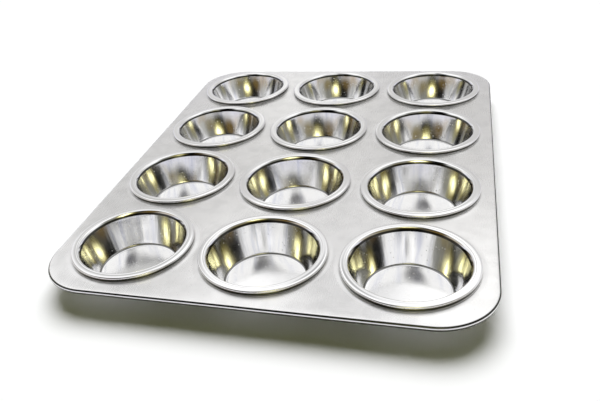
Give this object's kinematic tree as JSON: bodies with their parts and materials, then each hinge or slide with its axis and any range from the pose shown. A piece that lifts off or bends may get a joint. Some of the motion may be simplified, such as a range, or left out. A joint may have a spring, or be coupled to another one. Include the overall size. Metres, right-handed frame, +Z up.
{
  "type": "muffin pan",
  "caption": "Seamed metal muffin pan: shallow flared cups set into a flat sheet with rounded corners and a wired, rolled edge.",
  "frame": {"origin": "centre of the pan on the surface that it stands on, in the plane of the cups' undersides", "axes": "+X across the columns of cups, +Y along the rows from the front edge to the back, +Z up"},
  "size_m": [0.279, 0.3678, 0.0236],
  "materials": {
    "sheet": "satin tinplate",
    "cup": "bright drawn tinplate",
    "wire": "plain drawn wire"
  },
  "bodies": {
    "root": {"frame_sheet": "sheet", "rim_wire": "wire", "cup_row1_left": "cup", "cup_row1_middle": "cup", "cup_row1_right": "cup", "cup_row2_left": "cup", "cup_row2_middle": "cup", "cup_row2_right": "cup", "cup_row3_left": "cup", "cup_row3_middle": "cup", "cup_row3_right": "cup", "cup_row4_left": "cup", "cup_row4_middle": "cup", "cup_row4_right": "cup"}
  },
  "joints": []
}
